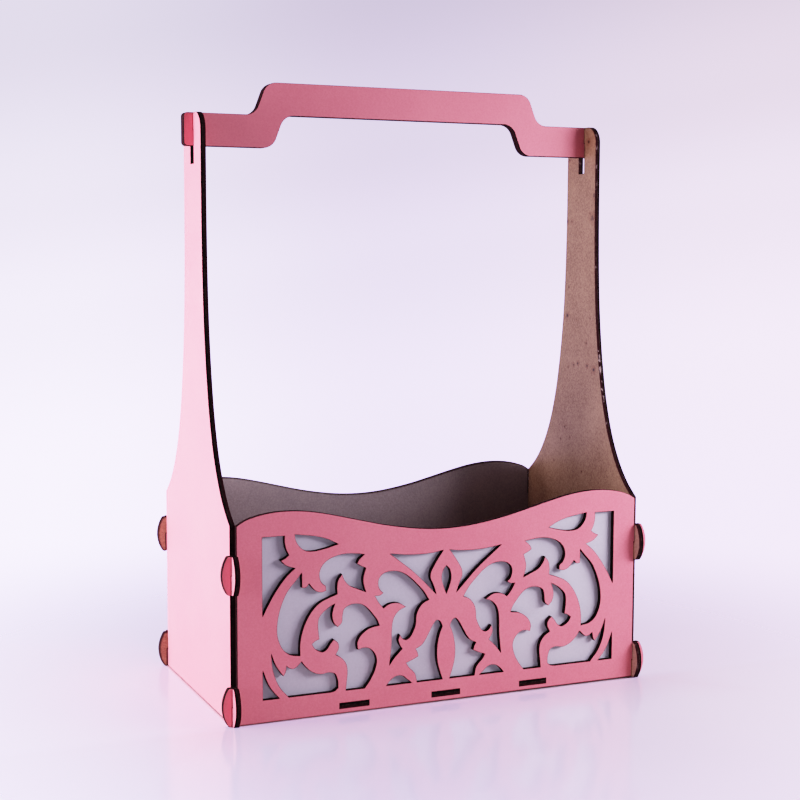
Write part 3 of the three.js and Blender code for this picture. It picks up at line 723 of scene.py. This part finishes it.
finish_piece(board("front_panel_board", wall, openwork() + FLOOR_SLOTS, facing_front(-DEPTH / 2)),
             "front_panel", "basket", "pink_board", pink, raw, char)
finish_piece(board("back_panel_board", wall, FLOOR_SLOTS, facing_back(Y_IN)),
             "back_panel", "basket", "pink_board", pink, raw_painted_sheen, char)
finish_piece(board("left_side_board", side, [HANDLE_WINDOW], facing_left(-WIDTH / 2)),
             "left_side_panel", "basket", "pink_board", pink, raw, char)
finish_piece(board("right_side_board", side, [HANDLE_WINDOW], facing_right(X_IN)),
             "right_side_panel", "basket", "pink_board", pink, raw_singed, char)
finish_piece(board("bottom_board", floor_outline(), [], lambda a, b, h: (a * MM, b * MM, (FLOOR_Z + h) * MM)),
             "bottom_panel", "basket", "raw_board", raw, raw, char)
finish_piece(board("front_liner_board", liner_outline(), [], facing_front(-Y_IN + 0.05)),
             "front_liner", "basket", "white_board", white, white, white)
finish_piece(board("handle_front_board", bar, [], facing_front(-BOARD - GLUE)),
             "handle_front_layer", "handle", "pink_board", pink, raw, char)
finish_piece(board("handle_rear_board", bar, [], facing_back(GLUE)),
             "handle_rear_layer", "handle", "pink_board", pink, raw, char)

# -------------------------------------------------------------------- the stage


def stage_floor():
    mesh = bpy.data.meshes.new("studio_floor")
    bm = bmesh.new()
    bmesh.ops.create_circle(bm, cap_ends=True, cap_tris=True, segments=96, radius=0.9)
    bm.to_mesh(mesh)
    bm.free()
    obj = bpy.data.objects.new("studio_floor", mesh)
    obj.location.z = -0.00026
    obj.rotation_euler.y = 0.0013
    bpy.context.scene.collection.objects.link(obj)
    t = Tree("floor_sheet")
    mottle = t.noise(t.object, 5.0, 2.0, 0.5)
    base = t.mix(t.ramp(mottle, 0.3, 0.7), (0.655, 0.585, 0.635), (0.67, 0.60, 0.65))
    length = t.nt.nodes.new("ShaderNodeVectorMath")
    length.operation = "LENGTH"
    t.put(length.inputs[0], t.object)
    place = t.node("ShaderNodeSeparateXYZ", Vector=t.object)
    beside = t.math("MAXIMUM", t.math("SUBTRACT", t.math("ABSOLUTE", place.outputs["X"]), 0.5 * WIDTH * MM),
                    t.math("SUBTRACT", t.math("ABSOLUTE", place.outputs["Y"]), 0.5 * DEPTH * MM))
    before = t.ramp(place.outputs["Y"], -0.075, -0.060, 1.0, 0.0)
    painted_glow_left = t.ramp(place.outputs["X"], -0.135, -0.120, 1.0, 0.0)
    # painted shade and reflection: the floor in front of the basket is darkened, with a pink reflection of the front
    # panel painted next to its foot
    base = t.mix(before, base, (0.95, 0.935, 0.885), "MULTIPLY")
    base = t.mix(t.math("MULTIPLY", before, t.ramp(beside, -0.005, 0.060, 1.0, 0.0)), base, (0.88, 0.73, 0.64), "MULTIPLY")
    # painted bounce light: a pink glow painted on the floor beside the left panel
    base = t.mix(t.math("MULTIPLY", painted_glow_left, t.ramp(beside, 0.0, 0.120, 1.0, 0.0)), base, (1.22, 0.98, 0.97), "MULTIPLY")
    fade = t.math("MAXIMUM", t.ramp(length.outputs["Value"], 0.13, 0.52, 0.74, 0.0),
                  t.ramp(beside, 0.0005, 0.004, 1.0, 0.0))
    t.set(Base_Color=base, Roughness=t.ramp(mottle, 0.3, 0.7, 0.11, 0.14), Specular_IOR_Level=0.9, IOR=1.75, Alpha=fade)
    mesh.materials.append(t.mat)
    return obj


floor_sheet = stage_floor()
LIT = {}
for state in ("EXCLUDE", "INCLUDE"):
    LIT[state] = bpy.data.collections.new("floor_" + state.lower())
    LIT[state].objects.link(floor_sheet)
    LIT[state].collection_objects[0].light_linking.link_state = state
HANDLE_BOARDS = [bpy.data.objects["handle_front_board"], bpy.data.objects["handle_rear_board"]]
for group, state, members in (("BELOW", "EXCLUDE", [floor_sheet] + HANDLE_BOARDS), ("HANDLE", "INCLUDE", HANDLE_BOARDS)):
    LIT[group] = bpy.data.collections.new("handle_" + state.lower())
    for member in members:
        LIT[group].objects.link(member)
    for link in LIT[group].collection_objects:
        link.light_linking.link_state = state


def area_light(name, place, target, size, power, colour, gloss=True, lit=None):
    """A softbox. One that shows as gloss on the boards has a twin without gloss for the floor."""
    if gloss and lit is None:
        area_light(name + "_on_floor", place, target, size, power, colour, False, "INCLUDE")
        lit = "BELOW" if name == "front_softbox" else "EXCLUDE"
    data = bpy.data.lights.new(name, "AREA")
    data.shape = "RECTANGLE"
    data.size, data.size_y = size
    data.energy = power
    data.color = colour
    obj = bpy.data.objects.new(name, data)
    obj.location = place
    obj.rotation_euler = (Vector(target) - Vector(place)).to_track_quat("-Z", "Y").to_euler()
    obj.visible_camera = False
    obj.visible_glossy = gloss
    if lit:
        obj.light_linking.receiver_collection = LIT[lit]
    bpy.context.scene.collection.objects.link(obj)
    return obj


LAVENDER = (1.0, 0.93, 1.06)
area_light("left_softbox", (-1.0, -0.03, 0.15), (0, 0, 0.15), (0.40, 0.30), 13.7, LAVENDER)
area_light("left_near_panel", (-0.62, 0.0, 0.15), (0, 0, 0.15), (0.26, 0.26), 4.8, LAVENDER)
area_light("left_rear_strip", (-0.62, 0.32, 0.15), (0, 0, 0.15), (0.12, 0.26), 3.7, LAVENDER)
area_light("left_high_panel", (-0.62, -0.10, 0.40), (0, 0, 0.16), (0.20, 0.20), 1.4, LAVENDER)
area_light("right_softbox", (0.36, -0.36, 0.25), (0, 0, 0.16), (0.20, 0.16), 3.05, LAVENDER)
area_light("right_far_softbox", (0.52, -0.26, 0.26), (0, 0, 0.16), (0.20, 0.20), 2.5, LAVENDER)
area_light("front_softbox", (-0.15, -1.0, 0.16), (0, 0, 0.14), (0.40, 0.26), 2.2, LAVENDER)
area_light("front_bounce", (-0.07, -0.175, 0.008), (-0.07, -0.067, 0.03), (0.22, 0.012), 0.014, LAVENDER, False, "BELOW")
area_light("handle_softbox", (0.30, -0.55, 0.34), (0.05, 0, 0.33), (0.30, 0.16), 0.5, LAVENDER, False, "HANDLE")
area_light("top_softbox", (0.0, 0.02, 1.10), (0, 0.02, 0), (0.50, 0.50), 4.2, LAVENDER, False)
area_light("back_softbox", (0.32, 0.95, 0.45), (0, 0.06, 0.12), (0.50, 0.40), 10.0, LAVENDER, False)

FILM_WHITE = 1.035
FILM_STEEP = 1.5
FILM_KNEE = 1.13


def film(x):
    """Picture brightness from light: a toe, a steep middle and a long soft shoulder."""
    z = x ** FILM_STEEP
    return min(1.0, FILM_WHITE * z / (1 + z ** FILM_KNEE) ** (1 / FILM_KNEE))


def backdrop(r, g, b):
    """Light that shows as this 0-255 picture colour."""
    out = []
    for c in (r, g, b):
        want = ((c / 255 + 0.055) / 1.055) ** 2.4
        low, high = 0.0, 20.0
        for _ in range(60):
            m = (low + high) / 2
            low, high = (m, high) if film(m) < want else (low, m)
        out.append(low)
    return (*out, 1.0)


world = bpy.data.worlds.new("studio")
bpy.context.scene.world = world
world.use_nodes = True
wt = world.node_tree
wt.nodes.clear()
w_out = wt.nodes.new("ShaderNodeOutputWorld")
w_fill = wt.nodes.new("ShaderNodeBackground")
w_fill.inputs["Color"].default_value = (0.90, 0.90, 1.0, 1)
w_fill.inputs["Strength"].default_value = 0.02
w_back = wt.nodes.new("ShaderNodeBackground")
w_path = wt.nodes.new("ShaderNodeLightPath")
w_seen = wt.nodes.new("ShaderNodeMath")
w_seen.operation = "MAXIMUM"
w_mix = wt.nodes.new("ShaderNodeMixShader")
w_coord = wt.nodes.new("ShaderNodeTexCoord")
w_split = wt.nodes.new("ShaderNodeSeparateXYZ")
w_ramp = wt.nodes.new("ShaderNodeValToRGB")
w_map = wt.nodes.new("ShaderNodeMapRange")
w_map.inputs["From Min"].default_value = -0.25
w_map.inputs["From Max"].default_value = 0.25
wt.links.new(w_coord.outputs["Generated"], w_split.inputs[0])
wt.links.new(w_map.outputs["Result"], w_ramp.inputs["Fac"])
w_ramp.color_ramp.interpolation = "EASE"
stops = w_ramp.color_ramp.elements
stops[0].position, stops[0].color = 0.10, backdrop(244, 239, 251)
stops[1].position, stops[1].color = 0.84, backdrop(219, 211, 229)
for at, colour in ((0.30, (244, 239, 250)), (0.5, (239, 233, 246)), (0.64, (232, 225, 240))):
    stop = stops.new(at)
    stop.color = backdrop(*colour)
w_side = wt.nodes.new("ShaderNodeVectorMath")
w_side.operation = "DOT_PRODUCT"
w_side.inputs[1].default_value = (0.9165, -0.40, 0.0)
w_dip = wt.nodes.new("ShaderNodeValToRGB")
w_span = wt.nodes.new("ShaderNodeMapRange")
w_span.inputs["From Min"].default_value = -0.3
w_span.inputs["From Max"].default_value = 0.3
wt.links.new(w_coord.outputs["Generated"], w_side.inputs[0])
wt.links.new(w_side.outputs["Value"], w_span.inputs["Value"])
wt.links.new(w_span.outputs["Result"], w_dip.inputs["Fac"])
w_dip.color_ramp.interpolation = "EASE"
w_lean = wt.nodes.new("ShaderNodeMath")
w_lean.operation = "MULTIPLY_ADD"
w_lean.inputs[1].default_value = -0.10
wt.links.new(w_span.outputs["Result"], w_lean.inputs[0])
wt.links.new(w_split.outputs["Z"], w_lean.inputs[2])
w_level = wt.nodes.new("ShaderNodeMath")
w_level.operation = "ADD"
w_level.inputs[1].default_value = 0.05
wt.links.new(w_lean.outputs[0], w_level.inputs[0])
wt.links.new(w_level.outputs[0], w_map.inputs["Value"])
dips = w_dip.color_ramp.elements
dips[0].position, dips[0].color = 0.10, (1.16, 1.20, 1.17, 1)
dips[1].position, dips[1].color = 0.90, (0.95, 0.90, 0.82, 1)
dip = dips.new(0.5)
dip.color = (0.84, 0.84, 0.84, 1)
w_tint = wt.nodes.new("ShaderNodeMix")
w_tint.data_type = "RGBA"
w_tint.blend_type = "MULTIPLY"
w_tint.inputs["Factor"].default_value = 1.0
wt.links.new(w_ramp.outputs["Color"], w_tint.inputs[6])
wt.links.new(w_dip.outputs["Color"], w_tint.inputs[7])
wt.links.new(w_tint.outputs[2], w_back.inputs["Color"])
w_soft = wt.nodes.new("ShaderNodeMath")
w_soft.operation = "MULTIPLY_ADD"
w_soft.inputs[1].default_value = -0.22
w_soft.inputs[2].default_value = 1.0
wt.links.new(w_path.outputs["Is Glossy Ray"], w_soft.inputs[0])
wt.links.new(w_soft.outputs[0], w_back.inputs["Strength"])
wt.links.new(w_path.outputs["Is Camera Ray"], w_seen.inputs[0])
wt.links.new(w_path.outputs["Is Glossy Ray"], w_seen.inputs[1])
wt.links.new(w_seen.outputs[0], w_mix.inputs["Fac"])
wt.links.new(w_fill.outputs["Background"], w_mix.inputs[1])
wt.links.new(w_back.outputs["Background"], w_mix.inputs[2])
wt.links.new(w_mix.outputs["Shader"], w_out.inputs["Surface"])


def film_response(view):
    view.view_transform = "Standard"
    view.use_curve_mapping = True
    mapping = view.curve_mapping
    white = 10.0
    mapping.white_level = (white, white, white)
    curve = mapping.curves[3]
    for x in (0.04, 0.1, 0.2, 0.35, 0.55, 0.8, 1.1, 1.5, 2.0, 2.8, 4.0, 5.6, 7.6):
        curve.points.new(x / white, film(x))
    curve.points[-1].location = (1.0, film(white))
    for point in curve.points:
        point.handle_type = "AUTO_CLAMPED"
    mapping.update()


film_response(bpy.context.scene.view_settings)

# ------------------------------------------------------------------- the camera
cam_data = bpy.data.cameras.new("camera")
cam_data.sensor_width = 36.0
cam_data.lens = 1523.36 * 36.0 / 800.0
cam_data.dof.use_dof = False
cam = bpy.data.objects.new("camera", cam_data)
az, el, roll = math.radians(-23.579), math.radians(5.581), math.radians(0.172)
back = Vector((math.sin(az) * math.cos(el), -math.cos(az) * math.cos(el), math.sin(el)))
right = (-back).cross(Vector((0, 0, 1))).normalized()
up = right.cross(-back).normalized()
r2 = math.cos(roll) * right + math.sin(roll) * up
u2 = -math.sin(roll) * right + math.cos(roll) * up
cam.matrix_world = Matrix.Translation((-0.35916, -0.82416, 0.25155)) @ Matrix((r2, u2, back)).transposed().to_4x4()
bpy.context.scene.collection.objects.link(cam)
bpy.context.scene.camera = cam
